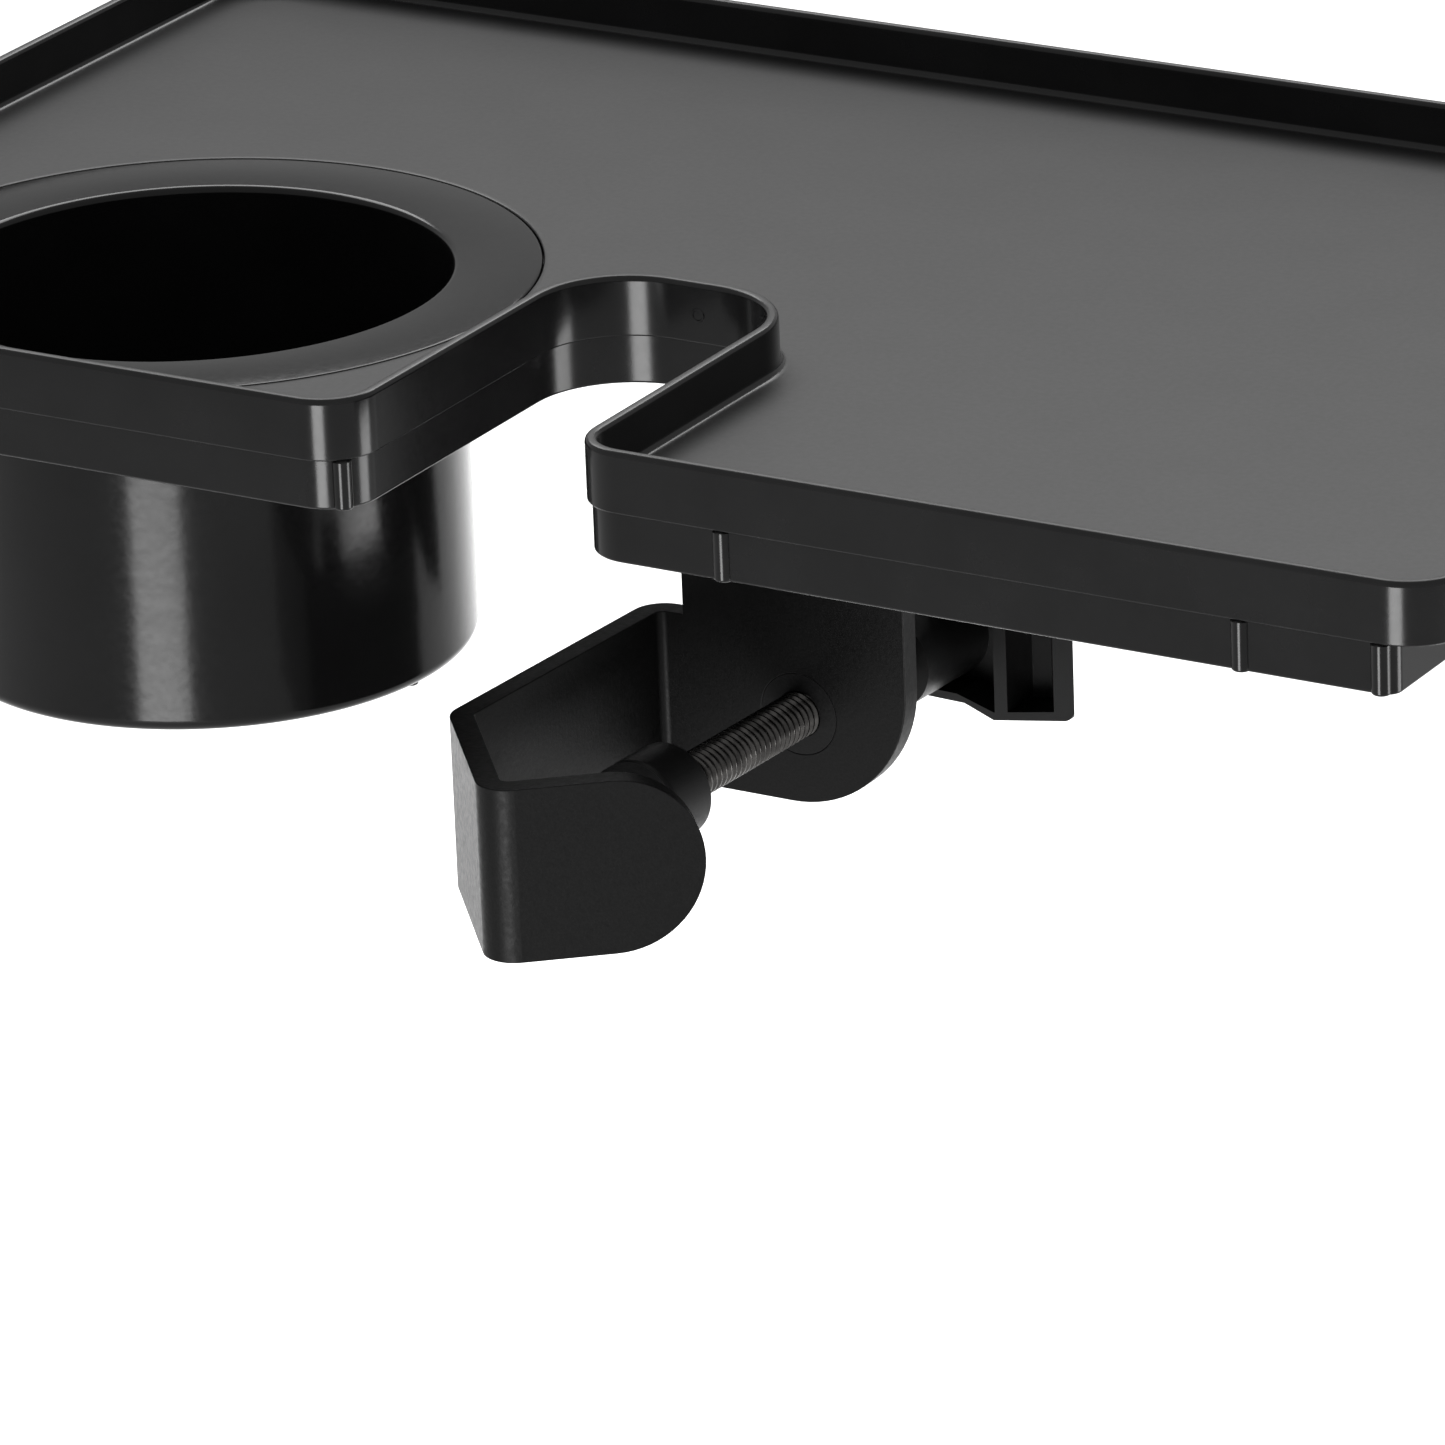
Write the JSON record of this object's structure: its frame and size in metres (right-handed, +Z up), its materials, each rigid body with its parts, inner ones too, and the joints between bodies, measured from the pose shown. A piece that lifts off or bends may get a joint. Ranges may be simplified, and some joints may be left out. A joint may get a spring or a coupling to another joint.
{
  "type": "pole clamp tray with drink holder",
  "caption": "Rimmed accessory tray with a notch for an upright tube, a drop-in drink cup, and a bent hook clamp under it closed by a wing-knob screw.",
  "frame": {"origin": "on the axis of the clamped tube, half way up the clamp's jaw", "axes": "+X along the tray's front edge to the right, +Y to the tray's back along the clamp screw, +Z up along the tube"},
  "size_m": [0.34, 0.2052, 0.0931],
  "materials": {
    "tray_plastic": "satin floor, glossy rim",
    "cup_plastic": "glossy",
    "bracket_paint": "fine matt powder coat",
    "screw_steel": "black oxide, oiled",
    "bush_steel": "painted with the bracket",
    "pad_plastic": "matt",
    "pad_rubber": "matt",
    "knob_plastic": "satin",
    "fastener_steel": "zinc plated",
    "insert_brass": "turned"
  },
  "bodies": {
    "holder": {"tray": "tray_plastic", "drink_cup": "cup_plastic", "clamp_bracket": "bracket_paint", "threaded_bush": "bush_steel", "flange_screws": "fastener_steel", "flange_washers": "fastener_steel", "tray_inserts": "insert_brass"},
    "pad": {"pressure_pad": "pad_plastic", "pad_face": "pad_rubber"},
    "screw": {"clamp_screw": "screw_steel", "retaining_ring": "fastener_steel", "wing_knob": "knob_plastic", "knob_insert": "fastener_steel"}
  },
  "joints": [
    {"name": "pad_travel", "type": "slide", "parent": "holder", "child": "pad", "axis": [0.061, 0.9981, 0], "range_m": [-0.0091, 0.0241]},
    {"name": "knob_turn", "type": "hinge", "parent": "pad", "child": "screw", "pos_m": [0.00608, 0.022, 0.0008], "axis": [0.061, 0.9981, 0], "range_deg": [-2280, 6120]}
  ],
  "couplings": [
    {"joint": "pad_travel", "follows": "knob_turn", "m_per_rad": 0.00022458}
  ]
}
